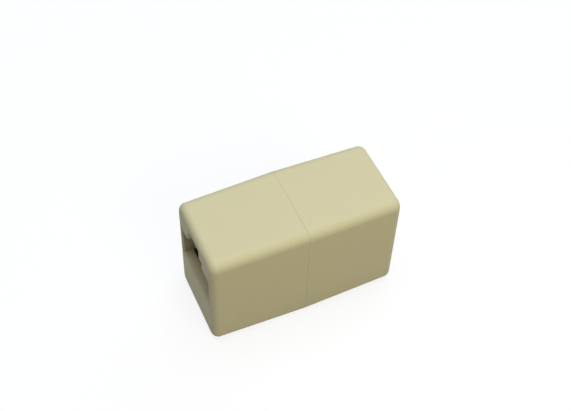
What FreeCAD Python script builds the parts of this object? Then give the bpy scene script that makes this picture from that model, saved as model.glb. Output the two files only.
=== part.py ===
"""RJ45 inline coupler: two moulded half shells back to back, each with an 8P8C port.

The origin is the middle of the base. +X runs along the body to the right port,
+Z is up, towards the latch side of both ports. Millimetres.
A piece of one half is modelled in the half's own frame, with its port at +X.
The left half's pieces are that frame turned 180 degrees about the upright axis.
"""

import FreeCAD, Part
import math
import os

import Sketcher

DOC = FreeCAD.newDocument("rj45_inline_coupler")
SIZES = DOC.addObject("Spreadsheet::Sheet", "Sizes")

DRIVING_SIZES = [
    # the outside, widest at the joint between the two halves
    ("body_length", 34.0),
    ("joint_width", 15.8),
    ("joint_height", 21.8),
    ("draft_angle", 1.0),
    ("edge_radius", 1.8),
    ("end_radius", 1.3),
    ("joint_chamfer", 0.06),
    # the lip of the left half, which enters the right half
    ("lip_length", 1.6),
    ("lip_inset", 1.1),
    ("lip_gap", 0.05),
    ("lip_corner_radius", 0.6),
    ("lip_lead_in", 0.2),
    # walls and port
    ("end_wall", 1.8),
    ("base_wall", 1.8),
    ("port_width", 11.8),
    ("port_height", 6.9),
    ("port_floor", 9.4),
    ("mouth_lead_in", 0.25),
    # latch notch: the wide step passes the tab, the narrow one its lever
    ("tab_step_width", 6.4),
    ("tab_step_rise", 1.5),
    ("lever_step_width", 4.0),
    ("lever_step_rise", 3.4),
    ("latch_pocket_width", 7.0),
    ("latch_pocket_rise", 3.5),
    # circuit board, upright across the middle
    ("board_thickness", 1.6),
    ("board_width", 11.6),
    ("board_height", 14.2),
    ("board_tab_width", 6.8),
    ("board_tab_height", 17.8),
    ("hole_diameter", 0.7),
    ("row_pitch", 1.6),
    # contact carrier
    ("carrier_gap", 0.05),
    ("plate_back", 3.2),
    ("plate_thickness", 1.8),
    ("cheek_thickness", 1.0),
    ("rib_thickness", 0.9),
    ("rib_spacing", 3.9),
    ("comb_back", 4.2),
    ("comb_thickness", 1.6),
    ("comb_slot_top", 13.0),
    ("slot_width", 0.56),
    ("groove_depth", 0.5),
    ("groove_end", 14.8),
    # contact springs, stamped and formed strip
    ("strip_width", 0.46),
    ("strip_thickness", 0.34),
    ("contact_pitch", 1.02),
    ("tail_length", 0.5),
    ("leg_place", 2.2),
    ("bend_radius", 0.38),
    ("knee_place", 13.9),
    ("knee_radius", 0.55),
    ("rise_angle", 15.0),
    ("tip_place", 4.9),
]

CONTACTS_PER_PORT = 8
HALF_LENGTH = "Sizes.body_length / 2"
DRAFT_RUN = f"{HALF_LENGTH} * tan(Sizes.draft_angle * 1 deg)"
BOARD_FACE = "Sizes.board_thickness / 2"
END_WALL_INNER = f"{HALF_LENGTH} - Sizes.end_wall"
PORT_TOP = "Sizes.port_floor + Sizes.port_height"
CARRIER_WIDTH = "(Sizes.port_width - 2 * Sizes.carrier_gap)"
PLATE_UNDERSIDE = "Sizes.port_floor - Sizes.plate_thickness"
STRIP_LEVEL = "Sizes.port_floor - Sizes.groove_depth + Sizes.strip_thickness / 2"


def fill_sheet():
    for row, (alias, value) in enumerate(DRIVING_SIZES, start=1):
        SIZES.set(f"A{row}", alias.replace("_", " "))
        SIZES.set(f"B{row}", str(value))
        SIZES.setAlias(f"B{row}", alias)
    DOC.recompute()


def value_of(expression):
    return float(SIZES.evalExpression(expression))


# ---------------------------------------------------------------- sketches


def new_body(label, turned=False):
    body = DOC.addObject("PartDesign::Body", label)
    body.Label = label
    if turned:
        upright = FreeCAD.Rotation(FreeCAD.Vector(0, 0, 1), 180)
        body.Placement = FreeCAD.Placement(FreeCAD.Vector(0, 0, 0), upright)
    return body


def sketch_on(body, name, role, offset="0"):
    """An empty sketch on one of the body's own planes, moved along its normal."""
    plane = next(item for item in body.Origin.OriginFeatures if item.Role == role)
    sketch = body.newObject("Sketcher::SketchObject", name)
    sketch.AttachmentSupport = [(plane, "")]
    sketch.MapMode = "FlatFace"
    sketch.setExpression("AttachmentOffset.Base.z", offset)
    return sketch


def dimension(sketch, name, constraint, expression):
    index = sketch.addConstraint(constraint)
    sketch.renameConstraint(index, name)
    sketch.setExpression(f"Constraints.{name}", expression)


def place_point(sketch, name, geometry, end, across, up):
    """Dimension one point from the sketch's origin; either expression may be None."""
    point = (-1, 1, geometry, end)
    if across is not None:
        across_constraint = Sketcher.Constraint("DistanceX", *point, value_of(across))
        dimension(sketch, f"{name}_across", across_constraint, across)
    if up is not None:
        up_constraint = Sketcher.Constraint("DistanceY", *point, value_of(up))
        dimension(sketch, f"{name}_up", up_constraint, up)


def outline_sketch(body, name, role, offset, corners):
    """A closed outline of straight edges through corners given as expressions."""
    sketch = sketch_on(body, name, role, offset)
    points = [FreeCAD.Vector(value_of(across), value_of(up), 0) for across, up in corners]
    count = len(points)
    for index in range(count):
        sketch.addGeometry(Part.LineSegment(points[index], points[(index + 1) % count]), False)
    for index in range(count):
        joint = (index, 2, (index + 1) % count, 1)
        sketch.addConstraint(Sketcher.Constraint("Coincident", *joint))
    for index, (across, up) in enumerate(corners):
        place_point(sketch, f"corner{index + 1}", index, 1, across, up)
    return sketch


def section_sketch(body, name, offset, width, bottom, top, middle="0"):
    """A rectangle across the body, at a distance along X from the joint."""
    left = f"{middle} - ({width}) / 2"
    right = f"{middle} + ({width}) / 2"
    corners = [(left, bottom), (right, bottom), (right, top), (left, top)]
    return outline_sketch(body, name, "YZ_Plane", offset, corners)


def circle_sketch(body, name, offset, across, up, diameter):
    sketch = sketch_on(body, name, "YZ_Plane", offset)
    centre = FreeCAD.Vector(value_of(across), value_of(up), 0)
    radius = value_of(diameter) / 2
    circle = Part.Circle(centre, FreeCAD.Vector(0, 0, 1), radius)
    geometry = sketch.addGeometry(circle, False)
    place_point(sketch, "centre", geometry, 3, across, up)
    size = Sketcher.Constraint("Diameter", geometry, 2 * radius)
    dimension(sketch, "diameter", size, diameter)
    return sketch


# ---------------------------------------------------------------- features


def pad(body, sketch, length, backwards=False):
    feature = body.newObject("PartDesign::Pad", f"{sketch.Label}Pad")
    feature.Profile = sketch
    feature.Reversed = backwards
    feature.setExpression("Length", length)
    DOC.recompute()
    return feature


def pocket(body, sketch, length=None):
    """Cut towards +X, to a length or right through, and make sure that it cuts."""
    volume_before = body.Shape.Volume
    feature = body.newObject("PartDesign::Pocket", f"{sketch.Label}Pocket")
    feature.Profile = sketch
    feature.Reversed = True
    if length is None:
        feature.Type = "ThroughAll"
    else:
        feature.setExpression("Length", length)
    DOC.recompute()
    if body.Shape.Volume > volume_before - 1e-6:
        raise RuntimeError(f"{feature.Label} removes nothing from {body.Label}")
    return feature


def row_of(body, original, count, pitch):
    """Repeat a feature along Y, the sketch's horizontal direction."""
    feature = body.newObject("PartDesign::LinearPattern", f"{original.Label}Row")
    feature.Originals = [original]
    feature.Direction = (original.Profile[0], ["H_Axis"])
    feature.Occurrences = count
    feature.setExpression("Length", f"{count - 1} * {pitch}")
    body.Tip = feature
    DOC.recompute()
    return feature


def mirror_sideways(body, originals):
    plane = next(item for item in body.Origin.OriginFeatures if item.Role == "XZ_Plane")
    feature = body.newObject("PartDesign::Mirrored", f"{originals[0].Label}Mirror")
    feature.Originals = originals
    feature.MirrorPlane = (plane, [""])
    body.Tip = feature
    DOC.recompute()
    return feature


def edges_where(feature, wanted):
    edges = feature.Shape.Edges
    return [f"Edge{number}" for number, edge in enumerate(edges, start=1) if wanted(edge)]


def dress_edges(body, kind, base, edge_names, size_property, size):
    feature = body.newObject(f"PartDesign::{kind}", f"{base.Label}{kind}")
    feature.Base = (base, edge_names)
    feature.setExpression(size_property, size)
    DOC.recompute()
    return feature


# ---------------------------------------------------------------- half shells


SAME_PLACE = 1e-4


def lies_at(edge, place):
    """Whether an edge lies in the plane across the body at this distance along X."""
    box = edge.BoundBox
    return abs(box.XMin - place) < SAME_PLACE and abs(box.XMax - place) < SAME_PLACE


def drafted_block(body):
    """A block whose four long sides close in from the joint to the end."""
    block = body.newObject("PartDesign::AdditiveWedge", "Block")
    quarter_turn = FreeCAD.Rotation(FreeCAD.Vector(0, 0, 1), -90)
    block.Placement = FreeCAD.Placement(FreeCAD.Vector(0, 0, 0), quarter_turn)
    extents = {
        "Xmin": "-Sizes.joint_width / 2",
        "Xmax": "Sizes.joint_width / 2",
        "X2min": f"{DRAFT_RUN} - Sizes.joint_width / 2",
        "X2max": f"Sizes.joint_width / 2 - {DRAFT_RUN}",
        "Ymin": "0",
        "Ymax": HALF_LENGTH,
        "Zmin": "0",
        "Zmax": "Sizes.joint_height",
        "Z2min": DRAFT_RUN,
        "Z2max": f"Sizes.joint_height - {DRAFT_RUN}",
    }
    for name, expression in extents.items():
        block.setExpression(name, expression)
    DOC.recompute()
    return block


def shell_block(body):
    """The outside of one half: drafted from the joint to the end, edges rounded."""
    half_length = value_of(HALF_LENGTH)
    block = drafted_block(body)
    long_edges = edges_where(block, lambda edge: edge.BoundBox.XLength > 0.9 * half_length)
    rounded = dress_edges(body, "Fillet", block, long_edges, "Radius", "Sizes.edge_radius")
    end_edges = edges_where(rounded, lambda edge: lies_at(edge, half_length))
    ended = dress_edges(body, "Fillet", rounded, end_edges, "Radius", "Sizes.end_radius")
    joint_edges = edges_where(ended, lambda edge: lies_at(edge, 0.0))
    return dress_edges(body, "Chamfer", ended, joint_edges, "Size", "Sizes.joint_chamfer")


def lip_sketch(body, name, gap):
    width = f"Sizes.joint_width - 2 * (Sizes.lip_inset - {gap})"
    bottom = f"Sizes.lip_inset - {gap}"
    top = f"Sizes.joint_height - Sizes.lip_inset + {gap}"
    return section_sketch(body, name, "0", width, bottom, top)


def round_lip_corners(body, base, reach, gap):
    """Round the four long corners of the lip, or of the seat that it enters."""
    across = value_of(f"Sizes.joint_width / 2 - Sizes.lip_inset + {gap}")
    length = value_of(reach)

    def is_corner(edge):
        box = edge.BoundBox
        runs_along = abs(box.XLength - length) + box.YLength + box.ZLength < SAME_PLACE
        return runs_along and abs(abs(box.Center.y) - across) < SAME_PLACE

    radius = f"Sizes.lip_corner_radius + {gap}"
    return dress_edges(body, "Fillet", base, edges_where(base, is_corner), "Radius", radius)


def chamfer_mouth(body):
    """Break the edges of the port's mouth, so that the plug finds its way in."""
    half_length = value_of(HALF_LENGTH)
    half_width = value_of("Sizes.port_width / 2")
    bottom = value_of("Sizes.port_floor")
    top = value_of(f"{PORT_TOP} + Sizes.lever_step_rise")

    def is_mouth(edge):
        box = edge.BoundBox
        within_width = max(box.YMax, -box.YMin) < half_width + SAME_PLACE
        within_height = box.ZMin > bottom - SAME_PLACE and box.ZMax < top + SAME_PLACE
        return lies_at(edge, half_length) and within_width and within_height

    mouth = edges_where(body.Tip, is_mouth)
    return dress_edges(body, "Chamfer", body.Tip, mouth, "Size", "Sizes.mouth_lead_in")


def hollow_shell(body, start):
    """Cut the chamber, the port with its stepped latch notch, and the latch pocket.

    The chamber and the latch pocket stop at the end wall. What the notch leaves of
    that wall beside the lever step is the catch that the plug's tab locks behind.
    """
    depth = f"{END_WALL_INNER} - ({start})"
    chamber = section_sketch(
        body, "Chamber", start, "Sizes.port_width", "Sizes.base_wall", PORT_TOP
    )
    pocket(body, chamber, depth)
    latch_pocket = section_sketch(
        body, "LatchPocket", start, "Sizes.latch_pocket_width",
        PORT_TOP, f"{PORT_TOP} + Sizes.latch_pocket_rise",
    )
    pocket(body, latch_pocket, depth)
    port = section_sketch(body, "Port", "0", "Sizes.port_width", "Sizes.port_floor", PORT_TOP)
    pocket(body, port)
    for step in ("tab_step", "lever_step"):
        top = f"{PORT_TOP} + Sizes.{step}_rise"
        notch = section_sketch(body, step.title().replace("_", ""), "0",
                               f"Sizes.{step}_width", PORT_TOP, top)
        pocket(body, notch)


def left_shell():
    body = new_body("left_shell", turned=True)
    shell_block(body)
    lip = pad(body, lip_sketch(body, "Lip", "0"), "Sizes.lip_length", backwards=True)
    rounded = round_lip_corners(body, lip, "Sizes.lip_length", "0")
    lip_end = value_of("-Sizes.lip_length")
    end_edges = edges_where(rounded, lambda edge: lies_at(edge, lip_end))
    dress_edges(body, "Chamfer", rounded, end_edges, "Size", "Sizes.lip_lead_in")
    hollow_shell(body, "-Sizes.lip_length")
    chamfer_mouth(body)
    return body


def right_shell():
    body = new_body("right_shell")
    shell_block(body)
    depth = "Sizes.lip_length + Sizes.lip_gap"
    seat = pocket(body, lip_sketch(body, "LipSeat", "Sizes.lip_gap"), depth)
    round_lip_corners(body, seat, depth, "Sizes.lip_gap")
    hollow_shell(body, "0")
    chamfer_mouth(body)
    return body


# ---------------------------------------------------------------- contact carriers


def contact_carrier(label, turned):
    """The moulded insert that is the port's floor, with a groove for each contact.

    Two cheeks stand on the shell's base and bear on the board. The back wall stops
    the plug, and its comb of slots holds the springs' free tips apart.
    """
    body = new_body(label, turned)
    cheek = outline_sketch(body, "Cheek", "XZ_Plane", f"-{CARRIER_WIDTH} / 2", [
        (BOARD_FACE, "Sizes.base_wall"),
        (END_WALL_INNER, "Sizes.base_wall"),
        (END_WALL_INNER, "Sizes.port_floor"),
        ("Sizes.comb_back + Sizes.comb_thickness", "Sizes.port_floor"),
        ("Sizes.comb_back + Sizes.comb_thickness", f"{PORT_TOP} - Sizes.carrier_gap"),
        (BOARD_FACE, f"{PORT_TOP} - Sizes.carrier_gap"),
    ])
    cheek_pad = pad(body, cheek, "Sizes.cheek_thickness")
    mirror_sideways(body, [cheek_pad])

    plate = section_sketch(
        body, "Plate", "Sizes.plate_back", CARRIER_WIDTH, PLATE_UNDERSIDE, "Sizes.port_floor"
    )
    pad(body, plate, f"{END_WALL_INNER} - Sizes.plate_back")
    back_wall = section_sketch(
        body, "BackWall", "Sizes.comb_back", CARRIER_WIDTH,
        PLATE_UNDERSIDE, f"{PORT_TOP} - Sizes.carrier_gap",
    )
    pad(body, back_wall, "Sizes.comb_thickness")
    rib = section_sketch(
        body, "Rib", "Sizes.plate_back", "Sizes.rib_thickness",
        "Sizes.base_wall", PLATE_UNDERSIDE, middle="Sizes.rib_spacing / 2",
    )
    rib_pad = pad(body, rib, f"{END_WALL_INNER} - Sizes.plate_back")
    mirror_sideways(body, [rib_pad])

    first_contact = f"-{(CONTACTS_PER_PORT - 1) / 2} * Sizes.contact_pitch"
    groove_floor = "Sizes.port_floor - Sizes.groove_depth"
    groove = section_sketch(
        body, "Groove", "Sizes.plate_back", "Sizes.slot_width",
        groove_floor, "Sizes.port_floor", middle=first_contact,
    )
    groove_cut = pocket(body, groove, "Sizes.groove_end - Sizes.plate_back")
    row_of(body, groove_cut, CONTACTS_PER_PORT, "Sizes.contact_pitch")
    slot = section_sketch(
        body, "CombSlot", "Sizes.comb_back", "Sizes.slot_width",
        groove_floor, "Sizes.comb_slot_top", middle=first_contact,
    )
    slot_cut = pocket(body, slot, "Sizes.comb_thickness")
    row_of(body, slot_cut, CONTACTS_PER_PORT, "Sizes.contact_pitch")
    return body


# ---------------------------------------------------------------- circuit board


def circuit_board():
    """The upright board that carries each left contact's line across to the right.

    A tab at its top closes the way between the two latch pockets. The tail holes
    are in four rows: the right contacts use the outer two and the left contacts
    the inner two, and each row is staggered against the next.
    """
    body = new_body("circuit_board")
    shoulder = "Sizes.base_wall + Sizes.board_height"
    tab_top = "Sizes.base_wall + Sizes.board_tab_height"
    blank = outline_sketch(body, "Blank", "YZ_Plane", f"-{BOARD_FACE}", [
        ("-Sizes.board_width / 2", "Sizes.base_wall"),
        ("Sizes.board_width / 2", "Sizes.base_wall"),
        ("Sizes.board_width / 2", shoulder),
        ("Sizes.board_tab_width / 2", shoulder),
        ("Sizes.board_tab_width / 2", tab_top),
        ("-Sizes.board_tab_width / 2", tab_top),
        ("-Sizes.board_tab_width / 2", shoulder),
        ("-Sizes.board_width / 2", shoulder),
    ])
    pad(body, blank, "Sizes.board_thickness")
    for row in (1.5, 0.5, -0.5, -1.5):
        first_contact = -3.5 if row in (0.5, -1.5) else -2.5
        hole = circle_sketch(
            body, f"Hole{int(row + 2.5)}", f"-{BOARD_FACE}", f"{first_contact} * Sizes.contact_pitch",
            f"{STRIP_LEVEL} + {row} * Sizes.row_pitch", "Sizes.hole_diameter",
        )
        hole_cut = pocket(body, hole)
        row_of(body, hole_cut, CONTACTS_PER_PORT // 2, "2 * Sizes.contact_pitch")
    return body


# ---------------------------------------------------------------- contact springs


def trace_path(sketch, start, moves):
    """Lay runs and bends end to end from start, heading along +X at first.

    A move is ("run", length) or ("bend", radius, degrees), left turns positive.
    Gives each piece's geometry index with its first and last point numbers.
    """
    pieces = []
    position = start
    heading = 0.0
    for move in moves:
        ahead = FreeCAD.Vector(math.cos(heading), math.sin(heading), 0)
        if move[0] == "run":
            end = position + ahead * move[1]
            index = sketch.addGeometry(Part.LineSegment(position, end), False)
            pieces.append((index, 1, 2))
        else:
            turn = math.radians(move[2])
            side = math.copysign(1.0, turn)
            inward = FreeCAD.Vector(-ahead.y, ahead.x, 0) * side
            centre = position + inward * move[1]
            first = math.atan2(-inward.y, -inward.x)
            low, high = sorted((first, first + turn))
            circle = Part.Circle(centre, FreeCAD.Vector(0, 0, 1), move[1])
            index = sketch.addGeometry(Part.ArcOfCircle(circle, low, high), False)
            pieces.append((index, 1, 2) if side > 0 else (index, 2, 1))
            heading += turn
            last = first + turn
            end = centre + FreeCAD.Vector(math.cos(last), math.sin(last), 0) * move[1]
        position = end
    for (before, _, exit_end), (after, entry_end, _) in zip(pieces, pieces[1:]):
        sketch.addConstraint(Sketcher.Constraint("Tangent", before, exit_end, after, entry_end))
    return pieces


def contact_path(body, row_level):
    """Board tail, leg, run along the groove, knee at the mouth, spring rising back."""
    sketch = sketch_on(body, "Path", "XZ_Plane")
    tail_end = f"-{BOARD_FACE} - Sizes.tail_length"
    start = FreeCAD.Vector(value_of(tail_end), value_of(row_level), 0)
    bend = value_of("Sizes.bend_radius")
    leg = value_of(STRIP_LEVEL) - value_of(row_level)
    leg_turn = math.copysign(90.0, leg)
    knee_turn = 180.0 - value_of("Sizes.rise_angle")
    spring_run = value_of("Sizes.knee_place") - value_of("Sizes.tip_place")
    tail, out_bend, upright, in_bend, run, knee, spring = trace_path(sketch, start, [
        ("run", value_of("Sizes.leg_place") - bend - start.x),
        ("bend", bend, leg_turn),
        ("run", abs(leg) - 2 * bend),
        ("bend", bend, -leg_turn),
        ("run", value_of("Sizes.knee_place - Sizes.leg_place") - bend),
        ("bend", value_of("Sizes.knee_radius"), knee_turn),
        ("run", spring_run),
    ])
    for index in (tail[0], run[0]):
        sketch.addConstraint(Sketcher.Constraint("Horizontal", index))
    sketch.addConstraint(Sketcher.Constraint("Vertical", upright[0]))
    for name, index in (("out_bend", out_bend[0]), ("in_bend", in_bend[0])):
        radius = Sketcher.Constraint("Radius", index, bend)
        dimension(sketch, name, radius, "Sizes.bend_radius")
    knee_size = Sketcher.Constraint("Radius", knee[0], value_of("Sizes.knee_radius"))
    dimension(sketch, "knee", knee_size, "Sizes.knee_radius")
    place_point(sketch, "tail", tail[0], 1, tail_end, row_level)
    place_point(sketch, "leg", upright[0], 1, "Sizes.leg_place", None)
    place_point(sketch, "groove", run[0], 1, None, STRIP_LEVEL)
    place_point(sketch, "knee_start", run[0], 2, "Sizes.knee_place", None)
    place_point(sketch, "tip", spring[0], 2, "Sizes.tip_place", None)
    slope = Sketcher.Constraint("Angle", spring[0], math.radians(knee_turn))
    dimension(sketch, "slope", slope, "180 - Sizes.rise_angle")
    return sketch


def contact_spring(label, number, row, turned):
    """Contact 1 is at the right-hand side of a port seen from outside, latch up."""
    body = new_body(label, turned)
    row_level = f"{STRIP_LEVEL} + {row} * Sizes.row_pitch"
    side_steps = (CONTACTS_PER_PORT + 1) / 2 - number
    direction = -1 if turned else 1
    body.setExpression("Placement.Base.y", f"{direction * side_steps} * Sizes.contact_pitch")
    path = contact_path(body, row_level)
    tail_end = f"-{BOARD_FACE} - Sizes.tail_length"
    strip = section_sketch(
        body, "Strip", tail_end, "Sizes.strip_width",
        f"{row_level} - Sizes.strip_thickness / 2", f"{row_level} + Sizes.strip_thickness / 2",
    )
    DOC.recompute()
    spring = body.newObject("PartDesign::AdditivePipe", "Spring")
    spring.Profile = strip
    spring.Spine = (path, [])
    DOC.recompute()
    return body


def contact_set(side, outer_row, turned):
    """Eight springs: odd ones have their tails in the upper row, even in the lower."""
    springs = []
    for number in range(1, CONTACTS_PER_PORT + 1):
        row = outer_row if number % 2 else -outer_row
        springs.append(contact_spring(f"contact_{side}_{number}", number, row, turned))
    return springs


# ---------------------------------------------------------------- build and write


def check_document(parts):
    DOC.recompute()
    for item in DOC.Objects:
        if "Invalid" in item.State or "Error" in item.State:
            raise RuntimeError(f"{item.Label} failed: {item.State}")
    for part in parts:
        shape = part.Shape
        if shape.isNull() or not shape.isValid() or len(shape.Solids) != 1:
            raise RuntimeError(f"{part.Label} is not one valid solid")


def write_parts(parts):
    os.makedirs("parts", exist_ok=True)
    for part in parts:
        part.Shape.exportStep(f"parts/{part.Label}.step")
        print(f"{part.Label}: {part.Shape.Volume:.2f} mm3")


fill_sheet()
PARTS = [
    left_shell(),
    right_shell(),
    contact_carrier("left_carrier", turned=True),
    contact_carrier("right_carrier", turned=False),
    circuit_board(),
    *contact_set("left", 0.5, turned=True),
    *contact_set("right", 1.5, turned=False),
]
check_document(PARTS)
write_parts(PARTS)
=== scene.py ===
import math

import bpy
from mathutils import Matrix, Vector


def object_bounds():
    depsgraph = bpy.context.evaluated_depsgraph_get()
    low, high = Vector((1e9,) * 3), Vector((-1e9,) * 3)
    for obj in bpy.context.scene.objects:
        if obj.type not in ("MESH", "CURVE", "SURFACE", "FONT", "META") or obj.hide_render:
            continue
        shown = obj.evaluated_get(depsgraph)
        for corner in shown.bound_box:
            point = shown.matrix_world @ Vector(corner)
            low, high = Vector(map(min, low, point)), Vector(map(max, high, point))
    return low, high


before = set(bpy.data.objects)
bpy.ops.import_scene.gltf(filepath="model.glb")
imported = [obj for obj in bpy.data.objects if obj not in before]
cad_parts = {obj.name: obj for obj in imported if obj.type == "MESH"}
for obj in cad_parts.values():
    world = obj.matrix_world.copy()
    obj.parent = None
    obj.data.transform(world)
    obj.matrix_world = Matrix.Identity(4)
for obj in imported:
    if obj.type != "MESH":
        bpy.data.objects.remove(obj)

cad_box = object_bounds()
bpy.ops.object.select_all(action="DESELECT")
bpy.context.scene.view_settings.view_transform = "Standard"


# ---------------------------------------------------------------- half shells
# The outside of the coupler: two ivory ABS halves, moulded in a spark-eroded tool
# and welded lip to seat at mid-length. The skin is satin, a fine grain on faint waves.
SHELL_IVORY = (0.612, 0.558, 0.352)
SHELL_IVORY_WARM = (0.598, 0.540, 0.336)
SHELL_MOTTLE = 0.0035
SHELL_GRAIN = 0.00022
SHELL_GRAIN_DEPTH = 0.000012
SHELL_WAVE = 0.0007
SHELL_WAVE_SHARE = 4.5
SHELL_ROUGHNESS = 0.55
SHELL_ROUGHNESS_SPREAD = 0.10
SHELL_SHEEN = 0.24


class Socket:
    """A value in a node tree, with arithmetic that adds Math nodes."""

    def __init__(self, finish, socket):
        self.finish = finish
        self.socket = socket

    def math_node(self, operation, first, second):
        return self.finish.add("ShaderNodeMath", {"operation": operation}, {0: first, 1: second})

    def __add__(self, other):
        return self.math_node("ADD", self, other)

    def __mul__(self, other):
        return self.math_node("MULTIPLY", self, other)

    def __sub__(self, other):
        return self.math_node("SUBTRACT", self, other)

    def __rsub__(self, other):
        return self.math_node("SUBTRACT", other, self)

    def larger(self, other):
        return self.math_node("MAXIMUM", self, other)

    __radd__ = __add__
    __rmul__ = __mul__


class Finish:
    """The node tree of a material or world, built up with one method."""

    def __init__(self, owner):
        owner.use_nodes = True
        self.owner = owner
        self.tree = owner.node_tree
        self.tree.nodes.clear()

    def add(self, kind, settings=None, values=None, output=0):
        node = self.tree.nodes.new(kind)
        for name, setting in (settings or {}).items():
            setattr(node, name, setting)
        for name, value in (values or {}).items():
            if isinstance(value, Socket):
                self.tree.links.new(value.socket, node.inputs[name])
            elif isinstance(value, tuple) and node.inputs[name].type == "RGBA":
                node.inputs[name].default_value = (*value, 1.0)
            else:
                node.inputs[name].default_value = value
        return Socket(self, node.outputs[output]) if node.outputs else None

    def noise(self, size, detail=2.0, roughness=0.5):
        """A pattern from 0 to 1 whose patches are about this size, fixed to the piece."""
        place = self.add("ShaderNodeTexCoord", output="Object")
        values = {"Vector": place, "Scale": 1.0 / size, "Detail": detail, "Roughness": roughness}
        return self.add("ShaderNodeTexNoise", None, values)

    def mix(self, factor, first, second):
        settings = {"data_type": "RGBA"}
        return self.add("ShaderNodeMix", settings, {0: factor, 6: first, 7: second}, output=2)

    def bump(self, height, depth):
        return self.add("ShaderNodeBump", None, {"Strength": 1.0, "Distance": depth, "Height": height})

    def surface(self, **values):
        inputs = {name.replace("_", " "): value for name, value in values.items()}
        shader = self.add("ShaderNodeBsdfPrincipled", None, inputs)
        self.add("ShaderNodeOutputMaterial", None, {"Surface": shader})
        return self.owner


def dress(node_name, material):
    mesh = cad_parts[node_name].data
    mesh.materials.clear()
    mesh.materials.append(material)


def ivory_abs():
    finish = Finish(bpy.data.materials.new("ivory_abs"))
    mottle = finish.noise(SHELL_MOTTLE, detail=3.0, roughness=0.55)
    colour = finish.mix(mottle, SHELL_IVORY, SHELL_IVORY_WARM)
    grain = finish.noise(SHELL_GRAIN)
    skin = grain + SHELL_WAVE_SHARE * finish.noise(SHELL_WAVE)
    return finish.surface(
        Base_Color=colour,
        Roughness=SHELL_ROUGHNESS + SHELL_ROUGHNESS_SPREAD * (grain - 0.5),
        Specular_IOR_Level=SHELL_SHEEN,
        Normal=finish.bump(skin, SHELL_GRAIN_DEPTH),
    )


ivory = ivory_abs()
for shell in ("left_shell", "right_shell"):
    dress(shell, ivory)


# ---------------------------------------------------------------- contact carriers
# The insert behind each mouth: black glass-filled PBT, the port's floor and back wall.
# The contacts lie in its grooves and its comb keeps their tips apart.
CARRIER_BLACK = (0.018, 0.018, 0.019)
CARRIER_GREY = (0.030, 0.030, 0.031)
CARRIER_FLOW = 0.0012
CARRIER_FLOW_DEPTH = 0.00001
CARRIER_ROUGHNESS = 0.38
CARRIER_ROUGHNESS_SPREAD = 0.14


def black_pbt():
    finish = Finish(bpy.data.materials.new("black_pbt"))
    flow = finish.noise(CARRIER_FLOW, detail=4.0)
    return finish.surface(
        Base_Color=finish.mix(flow, CARRIER_BLACK, CARRIER_GREY),
        Roughness=CARRIER_ROUGHNESS + CARRIER_ROUGHNESS_SPREAD * flow,
        Normal=finish.bump(flow, CARRIER_FLOW_DEPTH),
    )


pbt = black_pbt()
for carrier in ("left_carrier", "right_carrier"):
    dress(carrier, pbt)


# ---------------------------------------------------------------- circuit board
# The upright board between the two carriers: epoxy laminate under green solder mask.
# Its tracks cross over inside it and are not seen.
MASK_GREEN = (0.010, 0.085, 0.035)
MASK_GREEN_THIN = (0.016, 0.125, 0.050)
MASK_WEAVE = 0.0006
MASK_WEAVE_DEPTH = 0.000008
MASK_ROUGHNESS = 0.30
MASK_ROUGHNESS_SPREAD = 0.10


def solder_mask():
    finish = Finish(bpy.data.materials.new("solder_mask"))
    weave = finish.noise(MASK_WEAVE, detail=3.0)
    return finish.surface(
        Base_Color=finish.mix(weave, MASK_GREEN, MASK_GREEN_THIN),
        Roughness=MASK_ROUGHNESS + MASK_ROUGHNESS_SPREAD * weave,
        Normal=finish.bump(weave, MASK_WEAVE_DEPTH),
    )


dress("circuit_board", solder_mask())


# ---------------------------------------------------------------- contact springs
# Eight springs in each port, stamped from phosphor bronze strip, formed over the
# carrier's front and gold-plated. Plugs wiping them leave the shine a little uneven.
GOLD = (0.86, 0.62, 0.25)
GOLD_PALE = (0.92, 0.69, 0.31)
GOLD_WIPE = 0.0011
GOLD_ROUGHNESS = 0.36
GOLD_ROUGHNESS_SPREAD = 0.08
STRIP_GRAIN = 0.00012
STRIP_GRAIN_DEPTH = 0.000001
CONTACTS_PER_PORT = 8


def gold_plate():
    finish = Finish(bpy.data.materials.new("gold_plate"))
    wipe = finish.noise(GOLD_WIPE, detail=3.0)
    return finish.surface(
        Base_Color=finish.mix(wipe, GOLD, GOLD_PALE),
        Metallic=1.0,
        Roughness=GOLD_ROUGHNESS + GOLD_ROUGHNESS_SPREAD * wipe,
        Normal=finish.bump(finish.noise(STRIP_GRAIN), STRIP_GRAIN_DEPTH),
    )


gold = gold_plate()
for side in ("left", "right"):
    for number in range(1, CONTACTS_PER_PORT + 1):
        dress(f"contact_{side}_{number}", gold)


# ---------------------------------------------------------------- floor and light
# A white sheet in a white tent. A large softbox hangs overhead, a second one behind on
# the right fills the far sides, and a small warm lamp stands close by in front.
TENT_WHITE = (1.0, 1.0, 1.0)
TENT_LIGHT = (0.06, 0.06, 0.06)
SHEET_WIDTH = 1.6
SHEET_WHITE = (0.98, 0.98, 1.0)
SHEET_BOUNCE = (0.40, 0.40, 0.40)
SHEET_GLOW = 0.84
DAYLIGHT = (0.85, 0.915, 1.0)
WARM = (1.0, 0.92, 0.64)
low, high = cad_box
centre = (Vector(low) + Vector(high)) / 2


def seen_directly(finish):
    """1 for a ray from the camera, off a shiny surface or through a clear one, and else 0."""
    by_camera = finish.add("ShaderNodeLightPath", output="Is Camera Ray")
    by_gloss = finish.add("ShaderNodeLightPath", output="Is Glossy Ray")
    through = finish.add("ShaderNodeLightPath", output="Is Transmission Ray")
    return by_camera.larger(by_gloss).larger(through)


def white_tent():
    tent = Finish(bpy.data.worlds.new("white_tent"))
    colour = tent.mix(seen_directly(tent), TENT_LIGHT, TENT_WHITE)
    background = tent.add("ShaderNodeBackground", None, {"Color": colour})
    tent.add("ShaderNodeOutputWorld", None, {"Surface": background})
    return tent.owner


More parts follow.
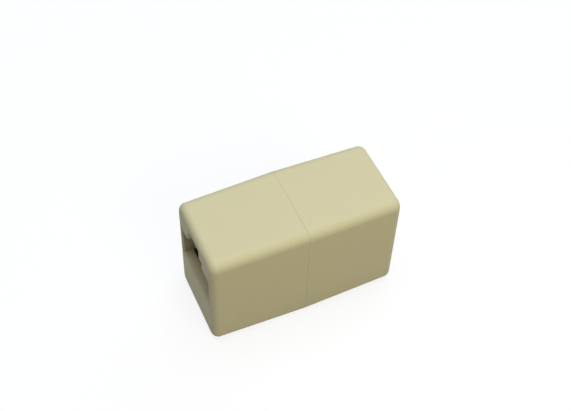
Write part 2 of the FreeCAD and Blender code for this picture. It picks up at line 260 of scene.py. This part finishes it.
def white_sheet():
    sheet = Finish(bpy.data.materials.new("white_sheet"))
    glow = sheet.add("ShaderNodeEmission", None, {"Color": TENT_WHITE, "Strength": 1.0})
    pale = sheet.add("ShaderNodeBsdfDiffuse", None, {"Color": SHEET_WHITE})
    bounce = sheet.add("ShaderNodeBsdfDiffuse", None, {"Color": SHEET_BOUNCE})
    lit = sheet.add("ShaderNodeMixShader", None, {0: SHEET_GLOW, 1: pale, 2: glow})
    shader = sheet.add("ShaderNodeMixShader", None, {0: seen_directly(sheet), 1: bounce, 2: lit})
    sheet.add("ShaderNodeOutputMaterial", None, {"Surface": shader})
    return sheet.owner


def soft_light(name, azimuth, elevation, reach, size, power, colour):
    """A round lamp aimed at the coupler. Its azimuth is 0 behind and 90 on the right."""
    lamp = bpy.data.lights.new(name, "AREA")
    lamp.shape = "DISK"
    lamp.size = size
    lamp.energy = power
    lamp.color = colour
    holder = bpy.data.objects.new(name, lamp)
    bpy.context.scene.collection.objects.link(holder)
    across = math.radians(azimuth)
    rise = math.radians(elevation)
    level = math.cos(rise)
    away = Vector((math.sin(across) * level, math.cos(across) * level, math.sin(rise)))
    holder.location = centre + away * reach
    holder.rotation_euler = away.to_track_quat("Z", "Y").to_euler()


bpy.ops.mesh.primitive_plane_add(size=SHEET_WIDTH, location=(0.0, 0.0, low[2]))
floor = bpy.context.object
floor.name = "floor"
floor.data.materials.append(white_sheet())
bpy.context.scene.world = white_tent()
soft_light("softbox", azimuth=20.0, elevation=86.0, reach=1.0, size=0.90, power=8.5, colour=DAYLIGHT)
soft_light("back_lamp", azimuth=50.0, elevation=35.0, reach=1.0, size=0.90, power=2.5, colour=DAYLIGHT)
soft_light("front_lamp", azimuth=172.0, elevation=40.0, reach=0.35, size=0.18, power=0.485, colour=WARM)


# ---------------------------------------------------------------- camera
# A longish lens from above, in front and a little to the left, rolled slightly.
CAMERA_AZIMUTH = math.radians(-25.91)
CAMERA_HEIGHT = math.radians(51.60)
CAMERA_ROLL = math.radians(2.22)
CAMERA_REACH = 0.17905
AIM_RIGHT = 0.00051
AIM_UP = -0.00609
SENSOR_WIDTH = 36.0
LENS_LENGTH = 65.9
NEAREST_SEEN = 0.01

back = Vector((
    math.sin(CAMERA_AZIMUTH) * math.cos(CAMERA_HEIGHT),
    -math.cos(CAMERA_AZIMUTH) * math.cos(CAMERA_HEIGHT),
    math.sin(CAMERA_HEIGHT),
))
level_right = (-back).cross(Vector((0, 0, 1))).normalized()
level_up = level_right.cross(-back)
right = level_right * math.cos(CAMERA_ROLL) + level_up * math.sin(CAMERA_ROLL)
up = level_up * math.cos(CAMERA_ROLL) - level_right * math.sin(CAMERA_ROLL)
eye = centre + back * CAMERA_REACH - right * AIM_RIGHT - up * AIM_UP

camera_data = bpy.data.cameras.new("camera")
camera_data.sensor_width = SENSOR_WIDTH
camera_data.lens = LENS_LENGTH
camera_data.clip_start = NEAREST_SEEN
camera = bpy.data.objects.new("camera", camera_data)
bpy.context.scene.collection.objects.link(camera)
turn = Matrix((right, up, back)).transposed().to_4x4()
camera.matrix_world = Matrix.Translation(eye) @ turn
bpy.context.scene.camera = camera
